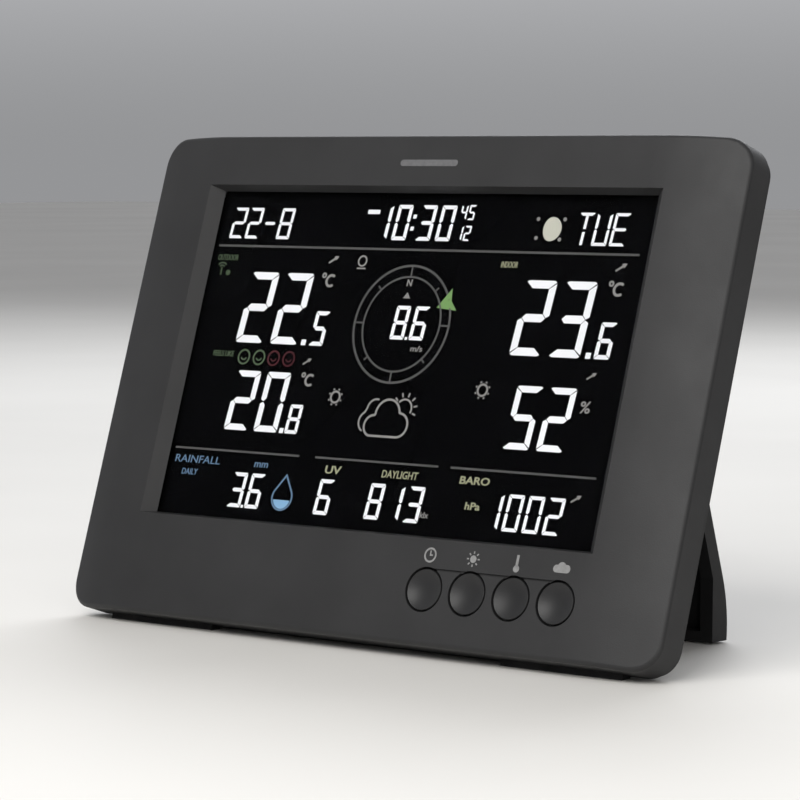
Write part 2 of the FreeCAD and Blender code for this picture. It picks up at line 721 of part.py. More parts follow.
def rear_cuts(x0, x1, z0, z1, floor):
    """Everything removed from the rear shell: recess, bay, slots and holes."""
    through = (REAR_Y - REAR_WALL - EPS, REAR_Y + EPS)
    cuts = [stand_recess(),
            box(x0, x1, REAR_Y - DOOR[2] - GAP, REAR_Y + EPS, z0, z1),
            rod_y(BAY_X, BAY_Z, CELL_R + EPS, floor, REAR_Y + EPS),
            box(BAY_X - CELL_SLOT[0], BAY_X + CELL_SLOT[0], floor, REAR_Y + EPS,
                BAY_Z - CELL_SLOT[1], BAY_Z + CELL_SLOT[1])]
    for x, z in SCREW_PLACES:
        cuts.append(rod_y(x, z, SCREW_HOLE_R, PARTING_Y - EPS, SCREW_SEAT_Y + EPS))
        cuts.append(rod_y(x, z, SCREW_WELL_R, SCREW_SEAT_Y, REAR_Y))
    for side in (-1, 1):
        p0, p1 = sorted((side * RECESS_HALF, side * PIN_X[1]))
        cuts.append(rod_x(HINGE_Y, HINGE_Z, PIN_R + PIN_GRIP, p0, p1))
    for x in KNOB_X:
        cuts.append(rod_y(x, KNOB_Z, KNOB_R + FIT, *through))
    reach = SLIDER_TRAVEL + SLIDER_THUMB[0] + EDGE
    rise = SLIDER_THUMB[2] + EDGE
    cuts.append(box(SLIDER_X - reach, SLIDER_X + reach, *through,
                    SLIDER_Z - rise, SLIDER_Z + rise))
    cuts.append(rod_y(JACK_X, JACK_Z, JACK_R + EPS, *through))
    for x in KEYHOLE_X:
        cuts.append(rod_y(x, KEYHOLE_Z, KEYHOLE_R, *through))
        cuts.append(box(x - KEYHOLE_SLOT_R, x + KEYHOLE_SLOT_R, *through,
                        KEYHOLE_Z, KEYHOLE_Z + KEYHOLE_RISE))
        cuts.append(rod_y(x, KEYHOLE_Z + KEYHOLE_RISE, KEYHOLE_SLOT_R, *through))
    for x in VENT_X:
        cuts.append(box(x - VENT_HALF, x + VENT_HALF, *through, *VENT_Z))
    return cuts


def battery_door():
    """Flat cover with grip grooves and a pad that holds the cell down."""
    x0, x1, z0, z1 = bay_size()
    inner = REAR_Y - DOOR[2]
    cover = box(x0 + DOOR_GAP, x1 - DOOR_GAP, inner, REAR_Y, z0 + DOOR_GAP, z1 - DOOR_GAP)
    rim = [e for e in cover.Edges if abs(e.CenterOfMass.y - REAR_Y) < GAP]
    cover = cover.makeFillet(EDGE, rim)
    pad = rod_y(BAY_X, BAY_Z, DOOR_PAD[0], inner - DOOR_PAD[1], inner)
    half, width, depth = GRIP
    grip = [box(BAY_X - half, BAY_X + half, REAR_Y - depth, REAR_Y + EPS, z0 + z, z0 + z + width)
            for z in GRIP_Z]
    return fuse([cover, pad]).cut(grip)


def coin_cell():
    floor = bay_floor() + CELL_LIFT
    inset, step = CELL_STEP
    can = rod_y(BAY_X, BAY_Z, CELL_R, floor + step, floor + CELL_T)
    cap = rod_y(BAY_X, BAY_Z, CELL_R - inset, floor, floor + step)
    rim = [e for e in can.Edges if abs(e.CenterOfMass.y - floor - CELL_T) < GAP]
    can = can.makeFillet(EDGE, rim)
    return fuse([can, cap])


def cell_contact_bottom():
    """Sprung strip under the cell."""
    floor = bay_floor()
    half, half_height, sheet = STRIP
    reach, lift = FINGER
    low, high = BAY_Z - half_height, BAY_Z + half_height
    top = floor + sheet
    strip = box(BAY_X - half, BAY_X + half, floor, top, low, high)
    finger = box(BAY_X - reach, BAY_X + reach, top, top + lift, low, high)
    return fuse([strip, finger])


def cell_contact_side():
    """Clip that touches the cell's rim."""
    floor = bay_floor()
    x = BAY_X + CELL_R + GAP
    sheet, height, half, length = CLIP
    leg = box(x, x + sheet, floor, floor + height, BAY_Z - half, BAY_Z + half)
    tail = box(x, x + length, floor, floor + sheet, BAY_Z - half, BAY_Z + half)
    return fuse([leg, tail])


def housing_screws():
    return Part.makeCompound([screw(x, z, SCREW_SEAT_Y, HOUSING_SCREW_TIP_Y, HOUSING_SCREW)
                              for x, z in SCREW_PLACES])


def board_screws():
    seat = BOARD_Y + BOARD_T
    screws = [screw(side * BOARD_SCREW_X, z, seat, BOARD_SCREW_TIP_Y, SMALL_SCREW)
              for side in (-1, 1) for z in BOARD_SCREW_Z]
    seat = BUTTON_BOARD_Y + BOARD_T
    screws += [screw(x, BUTTON_Z, seat, BUTTON_SCREW_TIP_Y, SMALL_SCREW)
               for x in BUTTON_BOARD_SCREW_X]
    return Part.makeCompound(screws)


def frame_screws():
    return Part.makeCompound([screw(side * FRAME_SCREW_X, z, FRAME_TAB_Y[1], FRAME_SCREW_TIP_Y,
                                    SMALL_SCREW)
                              for side in (-1, 1) for z in FRAME_SCREW_Z])


# ---- stand --------------------------------------------------------------------
def stand_arc_point(u):
    """Outer skin's offset from the hinge line where it bows inwards."""
    run = u - STAND_BOW_U
    return STAND_OUT - STAND_BOW_R + math.sqrt(STAND_BOW_R ** 2 - run ** 2)


def stand_wire(inner_straight, inner_foot, end_u):
    """Side profile of the stand, hanging straight down from the hinge axis.

    u runs down from the axis and v outwards; the foot's end is cut square to the table.
    """
    foot_u, foot_v = end_u, stand_arc_point(end_u)
    tilt = math.radians(STAND_OPEN - LEAN)
    drop = foot_v - inner_foot
    inner_u = foot_u - drop * math.tan(tilt)

    def at(u, v):
        return Vector(0, HINGE_Y + v, HINGE_Z - u)

    middle = (STAND_BOW_U + foot_u) / 2
    edges = [
        Part.LineSegment(at(0, STAND_OUT), at(STAND_BOW_U, STAND_OUT)).toShape(),
        Part.Arc(at(STAND_BOW_U, STAND_OUT), at(middle, stand_arc_point(middle)),
                 at(foot_u, foot_v)).toShape(),
        Part.LineSegment(at(foot_u, foot_v), at(inner_u, inner_foot)).toShape(),
        Part.LineSegment(at(inner_u, inner_foot), at(STAND_FLARE_U, inner_straight)).toShape(),
        Part.LineSegment(at(STAND_FLARE_U, inner_straight), at(0, inner_straight)).toShape(),
        Part.LineSegment(at(0, inner_straight), at(0, STAND_OUT)).toShape(),
    ]
    return Part.Wire(edges)


def stand_block(x0, x1, inner_straight, inner_foot, end_u):
    face = Part.Face(stand_wire(inner_straight, inner_foot, end_u))
    block = face.extrude(Vector(x1 - x0, 0, 0))
    block.translate(Vector(x0, 0, 0))
    return block


def stand_end():
    """Distance down the stand at which its foot stands just above the table."""
    axis_up = HINGE_Z * math.cos(math.radians(LEAN)) - HINGE_Y * math.sin(math.radians(LEAN))
    tilt = math.radians(STAND_OPEN - LEAN)
    height = axis_up + TABLE_DROP - PAD[2]
    end_u = height / math.cos(tilt)
    for _ in range(SOLVER_STEPS):
        end_u = (height + stand_arc_point(end_u) * math.sin(tilt)) / math.cos(tilt)
    return end_u


def open_stand(shape):
    shape.rotate(Vector(0, HINGE_Y, HINGE_Z), Vector(1, 0, 0), STAND_OPEN)
    return shape


def stand():
    """Wide plate with deep side flanges, a foot bar, ribs and a hinge barrel."""
    end_u = stand_end()
    half = STAND_HALF
    inner = -STAND_IN
    foot_in = -STAND_FOOT_IN
    whole = stand_block(-half, half, inner, foot_in, end_u)
    tray = stand_block(-half + FLANGE_W, half - FLANGE_W, inner - STAND_SKIN,
                       foot_in - STAND_BAR, end_u - STAND_BAR)
    skin = stand_block(-half, half, STAND_OUT - STAND_SKIN, stand_arc_point(end_u) - STAND_SKIN,
                       end_u)
    hollow = tray.cut(skin)
    ribs = [stand_block(x - RIB_HALF, x + RIB_HALF, inner + EPS, foot_in + STAND_SKIN,
                        end_u - OVERLAP) for x in RIB_X]
    barrel = rod_x(HINGE_Y, HINGE_Z, STAND_OUT, -half, half)
    body = fuse([whole.cut(hollow), barrel] + ribs)
    bores = [rod_x(HINGE_Y, HINGE_Z, PIN_R + PIN_FIT, half - PIN_SEAT, half + EPS),
             rod_x(HINGE_Y, HINGE_Z, PIN_R + PIN_FIT, -half - EPS, -half + PIN_SEAT)]
    body = open_stand(body.cut(bores))
    half, height = HEEL
    heels = [box(x - half, x + half, RECESS_FLOOR + GAP, HINGE_Y, HINGE_Z, HINGE_Z + height)
             for x in HEEL_X]
    return fuse([body] + heels)


def stand_pads():
    """Rubber pads under the foot, from the foot's end to the table."""
    end_u = stand_end()
    out_v = stand_arc_point(end_u)
    tilt = math.radians(STAND_OPEN)
    y = HINGE_Y + out_v * math.cos(tilt) + end_u * math.sin(tilt)
    z = HINGE_Z + out_v * math.sin(tilt) - end_u * math.cos(tilt)
    lean = math.radians(LEAN)
    heel_y = y * math.cos(lean) + z * math.sin(lean)
    start = heel_y - PAD[1] - PAD_BACK
    group = Part.makeCompound([Part.makeBox(*PAD, Vector(x, start, 0)) for x in PAD_X])
    group.translate(Vector(0, 0, -TABLE_DROP))
    group.rotate(Vector(0, 0, 0), Vector(1, 0, 0), LEAN)
    return group


def hinge_pin(side):
    x0, x1 = sorted((side * PIN_X[0], side * PIN_X[1]))
    pin = rod_x(HINGE_Y, HINGE_Z, PIN_R, x0, x1)
    return pin.makeChamfer(PIN_BEVEL, [e for e in pin.Edges if e.BoundBox.XLength < GAP])


def foot(side):
    """Wedge pad under the front shell; its lower face lies flat on the table."""
    lean = math.radians(LEAN)

    def table_z(y):
        return y * math.tan(lean) - TABLE_DROP / math.cos(lean)

    y0, y1 = FOOT_Y
    x0, x1 = sorted((side * FOOT_X[0], side * FOOT_X[1]))
    wire = polygon([(x0, y0, FOOT_SUNK), (x0, y1, FOOT_SUNK),
                    (x0, y1, table_z(y1)), (x0, y0, table_z(y0))])
    return Part.Face(wire).extrude(Vector(x1 - x0, 0, 0))


# ---- assembly -----------------------------------------------------------------
def build():
    inward = -1
    rearward = 1
    board_rear = BOARD_Y + BOARD_T
    nodes = {
        "front_housing": front_housing(),
        "display_window": display_window(),
        "lcd_panel": lcd_panel(),
        "lcd_frame": lcd_frame(),
        "light_guide": light_guide(),
        "reflector_sheet": reflector_sheet(),
        "backlight_board": backlight_board(),
        "backlight_leds": backlight_leds(),
        "display_flex": display_flex(),
        "main_board": main_board(),
        "main_chip": main_chip(),
        "radio_module": radio_module(),
        "antenna": antenna(),
        "buzzer": buzzer(),
        "climate_sensor": climate_sensor(),
        "button_board": button_board(),
        "dc_jack": dc_jack(),
        "dc_jack_pin": dc_jack_pin(),
        "rear_housing": rear_housing(),
        "slider_body": slider_body(),
        "brightness_slider": brightness_slider(),
        "battery_door": battery_door(),
        "coin_cell": coin_cell(),
        "cell_contact_bottom": cell_contact_bottom(),
        "cell_contact_side": cell_contact_side(),
        "housing_screws": housing_screws(),
        "board_screws": board_screws(),
        "frame_screws": frame_screws(),
        "stand": stand(),
        "stand_pads": stand_pads(),
        "hinge_pin_left": hinge_pin(-1),
        "hinge_pin_right": hinge_pin(1),
        "foot_left": foot(-1),
        "foot_right": foot(1),
    }
    for index, x in enumerate(BUTTON_X, start=1):
        nodes["front_button_%d" % index] = front_button(x)
        nodes["tact_switch_%d" % index] = tact_switch(x, BUTTON_Z, BUTTON_BOARD_Y, inward)
    for index, x in enumerate(KNOB_X, start=1):
        nodes["rear_button_%d" % index] = rear_button(x)
        nodes["rear_switch_%d" % index] = tact_switch(x, KNOB_Z, board_rear, rearward)
    return nodes


def place(shape, shift_y):
    """Lean the console back and set it on the table at the row frame's origin."""
    placed = shape.copy()
    placed.rotate(Vector(0, 0, 0), Vector(1, 0, 0), -LEAN)
    placed.translate(Vector(0, shift_y, TABLE_DROP))
    return placed


def main():
    os.makedirs("parts", exist_ok=True)
    nodes = build()
    leaned = [place(shape, 0) for shape in nodes.values()]
    box_all = Part.makeCompound(leaned).BoundBox
    shift_y = -box_all.Center.y
    print("row frame shift along y: %.4f mm" % shift_y)
    for name, shape in nodes.items():
        placed = place(shape, shift_y)
        if not placed.isValid():
            print("not valid:", name)
        print("%-20s solids %d volume %.1f" % (name, len(placed.Solids), placed.Volume))
        placed.exportStep("parts/%s.step" % name)


main()
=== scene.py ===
"""Looks of the home weather station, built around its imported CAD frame.

Sizes are in millimetres in console coordinates: x to the viewer's right, y from the
front to the rear, z up the face. TO_ROW carries them to the row frame in metres.
"""

import json
import math
from collections import namedtuple

import bpy
import bmesh
from mathutils import Matrix, Vector


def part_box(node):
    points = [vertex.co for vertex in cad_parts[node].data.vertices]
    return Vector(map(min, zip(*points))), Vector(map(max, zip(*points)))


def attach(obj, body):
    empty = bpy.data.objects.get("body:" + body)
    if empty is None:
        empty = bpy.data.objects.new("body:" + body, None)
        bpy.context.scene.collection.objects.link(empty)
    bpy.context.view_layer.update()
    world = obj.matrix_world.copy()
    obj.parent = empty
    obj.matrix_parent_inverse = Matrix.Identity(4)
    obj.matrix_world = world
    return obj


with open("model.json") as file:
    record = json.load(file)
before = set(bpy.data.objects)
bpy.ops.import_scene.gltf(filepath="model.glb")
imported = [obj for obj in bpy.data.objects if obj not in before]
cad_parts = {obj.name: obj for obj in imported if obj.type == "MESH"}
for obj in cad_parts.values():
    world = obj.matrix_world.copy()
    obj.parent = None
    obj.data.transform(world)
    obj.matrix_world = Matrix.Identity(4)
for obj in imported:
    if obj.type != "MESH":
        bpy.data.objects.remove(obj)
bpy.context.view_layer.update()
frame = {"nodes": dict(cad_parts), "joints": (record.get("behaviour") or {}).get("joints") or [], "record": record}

# ---- the console's place in the row frame --------------------------------------
MM = 0.001
LEAN = math.radians(18.1)
HINGE = (30.3, 77.5)          # the stand's axis in console coordinates: y, z
JOINTS = {joint["name"]: joint for joint in frame["joints"]}


def console_to_row():
    """Matrix that leans the console back and puts its hinge where the record has it."""
    lean = Matrix.Rotation(-LEAN, 4, "X")
    hinge = lean @ Vector((0, HINGE[0] * MM, HINGE[1] * MM))
    move = Vector(JOINTS["stand_hinge"]["pos_m"]) - hinge
    return Matrix.Translation(move) @ lean @ Matrix.Scale(MM, 4)


TO_ROW = console_to_row()

FACE_Y = -4.9                 # front plane of the shell
PANEL_Y = -0.2                # front of the display glass
REAR_Y = 33.1                 # rear face of the shell
INK_T = 0.06                  # thickness of printed ink
GLYPH_T = 0.08                # thickness of a lit segment


# ---- materials -------------------------------------------------------------------
def srgb(*values):
    """Linear colour from 0-255 screen values."""
    def linear(v):
        v = v / 255
        return v / 12.92 if v <= 0.04045 else ((v + 0.055) / 1.055) ** 2.4
    return tuple(linear(v) for v in values) + (1.0,)


class Surface:
    """A node material: a Principled shader fed by procedural colour and relief."""

    def __init__(self, name, **constants):
        self.material = bpy.data.materials.new(name)
        self.material.use_nodes = True
        self.tree = self.material.node_tree
        self.shader = self.tree.nodes["Principled BSDF"]
        self.coords = self.tree.nodes.new("ShaderNodeTexCoord").outputs["Object"]
        self.normal = None
        for socket, value in constants.items():
            self.shader.inputs[socket.replace("_", " ")].default_value = value

    def noise(self, scale, detail=4.0, roughness=0.5, stretch=None):
        node = self.tree.nodes.new("ShaderNodeTexNoise")
        node.inputs["Scale"].default_value = scale
        node.inputs["Detail"].default_value = detail
        node.inputs["Roughness"].default_value = roughness
        source = self.coords
        if stretch:
            mapping = self.tree.nodes.new("ShaderNodeMapping")
            mapping.inputs["Scale"].default_value = stretch
            self.tree.links.new(source, mapping.inputs["Vector"])
            source = mapping.outputs["Vector"]
        self.tree.links.new(source, node.inputs["Vector"])
        return node.outputs["Fac"]

    def cells(self, scale, feature="F1"):
        node = self.tree.nodes.new("ShaderNodeTexVoronoi")
        node.feature = feature
        node.inputs["Scale"].default_value = scale
        self.tree.links.new(self.coords, node.inputs["Vector"])
        return node.outputs["Distance"]

    def ramp(self, value, low, high, start=0.3, end=0.7):
        """Colour that runs from low to high as value goes from start to end."""
        node = self.tree.nodes.new("ShaderNodeValToRGB")
        first, last = node.color_ramp.elements
        first.position, first.color = start, low
        last.position, last.color = end, high
        self.tree.links.new(value, node.inputs["Fac"])
        return node.outputs["Color"]

    def span(self, value, low, high):
        """Value stretched from 0.25-0.75 to low-high."""
        node = self.tree.nodes.new("ShaderNodeMapRange")
        node.inputs["From Min"].default_value = 0.25
        node.inputs["From Max"].default_value = 0.75
        node.inputs["To Min"].default_value = low
        node.inputs["To Max"].default_value = high
        self.tree.links.new(value, node.inputs["Value"])
        return node.outputs["Result"]

    def feed(self, value, socket):
        self.tree.links.new(value, self.shader.inputs[socket])

    def relief(self, height, distance, strength=1.0):
        """Adds a layer of bump of the given depth in metres."""
        node = self.tree.nodes.new("ShaderNodeBump")
        node.inputs["Distance"].default_value = distance
        node.inputs["Strength"].default_value = strength
        self.tree.links.new(height, node.inputs["Height"])
        if self.normal:
            self.tree.links.new(self.normal, node.inputs["Normal"])
        self.normal = node.outputs["Normal"]
        self.tree.links.new(self.normal, self.shader.inputs["Normal"])


GRAIN_DEPTH = 0.00002         # metres
BRUSH = (60, 900, 900)        # stretch of the noise that draws metal's fine lines


def moulded_plastic(name, colour, rough, grain=3200):
    """Spark-eroded plastic: fine pebbles, a slow drift of tone and handled gloss."""
    surface = Surface(name, IOR=1.5, Specular_IOR_Level=0.3)
    dark = tuple(0.86 * c for c in colour[:3]) + (1.0,)
    light = tuple(min(1.0, 1.12 * c) for c in colour[:3]) + (1.0,)
    surface.feed(surface.ramp(surface.noise(38, 5.0), dark, light), "Base Color")
    surface.feed(surface.span(surface.noise(55, 6.0, 0.6), rough - 0.05, rough + 0.07),
                 "Roughness")
    surface.relief(surface.cells(grain), GRAIN_DEPTH, 0.55)
    surface.relief(surface.noise(grain * 0.5, 2.0), GRAIN_DEPTH, 0.5)
    return surface.material


def rubber(name):
    surface = Surface(name, Specular_IOR_Level=0.3)
    surface.feed(surface.ramp(surface.noise(90, 6.0), srgb(22, 22, 23), srgb(38, 38, 39)),
                 "Base Color")
    surface.feed(surface.span(surface.noise(700, 3.0), 0.72, 0.92), "Roughness")
    surface.relief(surface.noise(2600, 3.0), 0.00003, 0.7)
    return surface.material


def metal(name, dark, light, rough):
    """Plated or drawn metal with fine lines along one axis."""
    surface = Surface(name, Metallic=1.0)
    lines = surface.noise(6, 4.0, 0.6, stretch=BRUSH)
    surface.feed(surface.ramp(lines, dark, light, 0.25, 0.75), "Base Color")
    surface.feed(surface.span(lines, rough - 0.08, rough + 0.12), "Roughness")
    surface.relief(lines, 0.000008, 0.4)
    return surface.material


def board_mask(name):
    """Solder mask over copper traces."""
    surface = Surface(name, Roughness=0.3, Coat_Weight=0.4, Coat_Roughness=0.12)
    traces = surface.cells(420, "DISTANCE_TO_EDGE")
    surface.feed(surface.ramp(traces, srgb(44, 110, 66), srgb(12, 62, 36), 0.02, 0.08),
                 "Base Color")
    surface.relief(traces, 0.00003, 0.4)
    return surface.material


def clear_window(name):
    """Clear hard-coated cover with the faintest handling marks."""
    surface = Surface(name, Transmission_Weight=1.0, IOR=1.08)
    surface.shader.inputs["Base Color"].default_value = (0.97, 0.98, 1.0, 1.0)
    surface.feed(surface.span(surface.noise(30, 7.0, 0.65), 0.015, 0.06), "Roughness")
    surface.relief(surface.noise(14, 2.0), 0.00001, 0.12)
    return surface.material


def display_glass(name):
    """Black display glass with a soft polariser haze."""
    surface = Surface(name, IOR=1.5, Specular_IOR_Level=0.03)
    surface.feed(surface.ramp(surface.noise(12, 3.0), srgb(2, 2, 3), srgb(6, 6, 7)),
                 "Base Color")
    surface.feed(surface.span(surface.noise(160, 5.0), 0.16, 0.26), "Roughness")
    surface.relief(surface.noise(4200, 2.0), 0.000004, 0.35)
    return surface.material


def lit(name, colour, strength):
    """Backlit ink: even light with a barely uneven diffuser."""
    surface = Surface(name, Roughness=0.5, Specular_IOR_Level=0.1, Emission_Strength=strength)
    surface.shader.inputs["Base Color"].default_value = srgb(20, 20, 20)
    dim = tuple(0.93 * c for c in colour[:3]) + (1.0,)
    glow = surface.ramp(surface.noise(60, 2.0), dim, colour)
    surface.feed(glow, "Emission Color")
    return surface.material


def ink(name, colour):
    """Matt pad-printed ink."""
    surface = Surface(name, Specular_IOR_Level=0.3)
    worn = tuple(0.8 * c for c in colour[:3]) + (1.0,)
    surface.feed(surface.ramp(surface.noise(900, 4.0), worn, colour), "Base Color")
    surface.feed(surface.span(surface.noise(1500, 3.0), 0.5, 0.7), "Roughness")
    surface.relief(surface.noise(3000, 2.0), 0.00001, 0.5)
    return surface.material


def film(name, low, high, rough=0.35):
    surface = Surface(name)
    surface.feed(surface.ramp(surface.noise(140, 4.0), low, high), "Base Color")
    surface.feed(surface.span(surface.noise(300, 4.0), rough, rough + 0.15), "Roughness")
    surface.relief(surface.noise(500, 3.0), 0.00002, 0.3)
    return surface.material


def acrylic(name):
    surface = Surface(name, Transmission_Weight=0.9, IOR=1.49)
    surface.feed(surface.ramp(surface.noise(40, 3.0), srgb(226, 236, 240), srgb(244, 248, 250)),
                 "Base Color")
    surface.feed(surface.span(surface.cells(900), 0.08, 0.2), "Roughness")
    surface.relief(surface.cells(900), 0.00003, 0.4)
    return surface.material


MATERIALS = {
    "shell": moulded_plastic("case_plastic", srgb(44, 44, 45), 0.48),
    "front_caps": moulded_plastic("button_plastic", srgb(39, 39, 40), 0.38, 4200),
    "rear_caps": moulded_plastic("small_button_plastic", srgb(38, 38, 39), 0.4, 4200),
    "window": clear_window("window_clear"),
    "display": display_glass("display_black"),
    "holder": moulded_plastic("holder_plastic", srgb(30, 30, 31), 0.5, 2400),
    "acrylic": acrylic("light_guide_acrylic"),
    "white_film": film("reflector_film", srgb(222, 222, 220), srgb(240, 240, 238)),
    "circuit_board": board_mask("solder_mask"),
    "led": film("led_resin", srgb(226, 214, 150), srgb(246, 240, 206), 0.2),
    "flex": film("polyimide", srgb(120, 70, 22), srgb(164, 98, 34), 0.25),
    "black_plastic": moulded_plastic("component_plastic", srgb(26, 26, 27), 0.45, 5200),
    "can_steel": metal("tinned_steel", srgb(150, 150, 146), srgb(206, 206, 202), 0.26),
    "antenna_wire": metal("drawn_brass", srgb(150, 112, 54), srgb(204, 162, 90), 0.24),
    "screw_steel": metal("zinc_plate", srgb(92, 92, 94), srgb(150, 150, 152), 0.3),
    "rubber": rubber("foot_rubber"),
}
INKS = {
    "white": lit("lit_white", srgb(255, 255, 255), 1.0),
    "grey": lit("lit_grey", srgb(214, 210, 204), 0.44),
    "line": lit("lit_line", srgb(200, 198, 194), 0.17),
    "moon": lit("lit_moon", srgb(250, 248, 228), 0.62),
    "green": lit("lit_green", srgb(142, 186, 112), 0.7),
    "leaf": lit("lit_leaf", srgb(112, 132, 100), 0.48),
    "red": lit("lit_red", srgb(118, 56, 64), 0.4),
    "yellow": lit("lit_yellow", srgb(206, 205, 166), 0.58),
    "blue": lit("lit_blue", srgb(124, 158, 190), 0.6),
    "sky": lit("lit_sky", srgb(150, 196, 232), 0.8),
}
PRINT = ink("printed_grey", srgb(142, 142, 142))
FAINT_PRINT = ink("printed_faint", srgb(104, 104, 106))


def dress_nodes():
    """Every CAD node takes the material of its record slot, under any name it came with."""
    slots = {part["node"]: part["material_slot"] for part in frame["record"]["subparts"]}
    slots["stand"] = "holder"       # painted shade: the stand takes the darker holder plastic for the shadow it stands in behind the body
    for name, node in frame["nodes"].items():
        node.data.materials.clear()
        node.data.materials.append(MATERIALS[slots[name]])


# ---- flat shapes in the plane of the face -----------------------------------------
class Print:
    """Gathers flat shapes given in x and z and makes one thin solid of them."""

    def __init__(self):
        self.mesh = bmesh.new()

    def outline(self, points, y, thickness):
        """A prism over a simple polygon; its front is at y."""
        front = [self.mesh.verts.new((x, y, z)) for x, z in points]
        rear = [self.mesh.verts.new((x, y + thickness, z)) for x, z in points]
        self.mesh.faces.new(front)
        self.mesh.faces.new(rear[::-1])
        for index in range(len(points)):
            after = (index + 1) % len(points)
            self.mesh.faces.new((front[after], front[index], rear[index], rear[after]))

    def band(self, left, right, y, thickness, closed):
        """A prism between two lines of points of the same length."""
        rows = []
        for line in (left, right):
            rows.append([self.mesh.verts.new((x, y, z)) for x, z in line])
            rows.append([self.mesh.verts.new((x, y + thickness, z)) for x, z in line])
        a, a_rear, b, b_rear = rows
        count = len(left)
        for index in range(count if closed else count - 1):
            after = (index + 1) % count
            for p, q in ((a, b), (b, b_rear), (b_rear, a_rear), (a_rear, a)):
                self.mesh.faces.new((p[index], p[after], q[after], q[index]))
        if not closed:
            self.mesh.faces.new((a[0], a_rear[0], b_rear[0], b[0]))
            self.mesh.faces.new((a[-1], b[-1], b_rear[-1], a_rear[-1]))

    def finish(self, name, material, body, slot):
        """Turns the shapes into a piece that rides on a body."""
        bmesh.ops.recalc_face_normals(self.mesh, faces=self.mesh.faces)
        data = bpy.data.meshes.new(name)
        self.mesh.to_mesh(data)
        self.mesh.free()
        data.transform(TO_ROW)
        data.materials.append(material)
        piece = bpy.data.objects.new(name, data)
        bpy.context.scene.collection.objects.link(piece)
        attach(piece, body)


class Pen:
    """Draws shapes of one thickness at one depth into a Print."""

    def __init__(self, y, thickness):
        self.sheet = Print()
        self.y = y
        self.thickness = thickness

    def polygon(self, points):
        self.sheet.outline(points, self.y, self.thickness)

    def disc(self, x, z, radius, steps=28):
        self.polygon(circle(x, z, radius, steps))

    def ring(self, x, z, radius, width, steps=72):
        self.sheet.band(circle(x, z, radius + width / 2, steps),
                        circle(x, z, radius - width / 2, steps), self.y, self.thickness, True)

    def line(self, points, width, closed=False):
        """A stroke of even width with mitred corners."""
        left, right = [], []
        count = len(points)
        for index, point in enumerate(points):
            before = points[index - 1] if closed or index else None
            after = points[(index + 1) % count] if closed or index < count - 1 else None
            ways = [direction(before, point)] if before else []
            ways += [direction(point, after)] if after else []
            along = sum((Vector(way) for way in ways), Vector((0, 0))).normalized()
            half = width / 2 / max(0.4, along.dot(Vector(ways[0])))
            side = Vector((-along.y, along.x)) * half
            left.append((point[0] + side.x, point[1] + side.y))
            right.append((point[0] - side.x, point[1] - side.y))
        self.sheet.band(left, right, self.y, self.thickness, closed)

    def bar(self, x0, x1, z, width):
        self.line([(x0, z), (x1, z)], width)


def direction(start, end):
    return Vector((end[0] - start[0], end[1] - start[1])).normalized()


def circle(x, z, radius, steps):
    return arc(x, z, radius, 0, 360 - 360 / steps, steps - 1)


def arc(x, z, radius, start, end, steps=12):
    """Points along an arc, angles in degrees anticlockwise from the right."""
    points = []
    for index in range(steps + 1):
        points.append(ray(x, z, radius, start + (end - start) * index / steps))
    return points


def ray(x, z, reach, angle):
    """Point at a distance from x, z, angle in degrees anticlockwise from the right."""
    return x + reach * math.cos(math.radians(angle)), z + reach * math.sin(math.radians(angle))


def cloud(puffs, base, steps=84):
    """Outline round overlapping circles given as (x, z, radius), cut off flat at base."""
    middle_x = sum(x for x, _, _ in puffs) / len(puffs)
    middle_z = base + min(radius for _, _, radius in puffs) * 0.8
    span = min(x for x, _, _ in puffs), max(x for x, _, _ in puffs)
    points = []
    for step in range(steps):
        way = Vector(ray(0, 0, 1, 360 * step / steps))
        reach = (base - middle_z) / way.y if way.y < -0.1 else 0
        if not span[0] <= middle_x + reach * way.x <= span[1]:
            reach = 0
        for x, z, radius in puffs:
            offset = Vector((middle_x - x, middle_z - z))
            along = offset.dot(way)
            inside = along ** 2 - offset.length_squared + radius ** 2
            if inside > 0:
                reach = max(reach, math.sqrt(inside) - along)
        points.append((middle_x + reach * way.x, max(base, middle_z + reach * way.y)))
    return points


# ---- slanted segment figures -------------------------------------------------------
SLANT = 0.065                 # lean of the figures to the right, per unit of height
FIGURES = {
    "0": "abcdef", "1": "bc", "2": "abged", "3": "abgcd", "4": "fgbc", "5": "afgcd",
    "6": "afgedc", "7": "abc", "8": "abcdefg", "9": "abcdfg", "-": "g",
    "T": "aij", "U": "bcdef", "E": "afged",
}
SEGMENT_GAP = 0.07            # gap between segments, as a share of their width


def segment_outlines(width, height, stroke):
    """Outlines of the segments of an upright figure, by letter."""
    gap = stroke * SEGMENT_GAP
    cut = stroke * 0.32
    middle = height / 2
    half = stroke / 2
    top = [(gap + cut, height), (width - gap - cut, height), (width - gap, height - cut * 0.6),
           (width - stroke - gap, height - stroke), (stroke + gap, height - stroke),
           (gap, height - cut * 0.6)]
    upper_left = [(0, height - cut - gap), (stroke, height - stroke - gap),
                  (stroke, middle + half + gap), (half, middle + gap), (0, middle + half * 0.7)]
    across = [(half + gap, middle), (stroke + gap, middle + half),
              (width - stroke - gap, middle + half), (width - half - gap, middle),
              (width - stroke - gap, middle - half), (stroke + gap, middle - half)]
    post = [(width / 2 - half, height - stroke - gap), (width / 2 + half, height - stroke - gap),
            (width / 2 + half, middle + gap), (width / 2 - half, middle + gap)]

    def flipped(points):
        return [(width - x, z) for x, z in points]

    def lowered(points):
        return [(x, height - z) for x, z in points]

    return {"a": top, "d": lowered(top), "f": upper_left, "b": flipped(upper_left),
            "e": lowered(upper_left), "c": lowered(flipped(upper_left)), "g": across,
            "i": post, "j": lowered([(x, z + stroke * 0.9) for x, z in post])}


Size = namedtuple("Size", "height width stroke gap")    # gap: between two figures


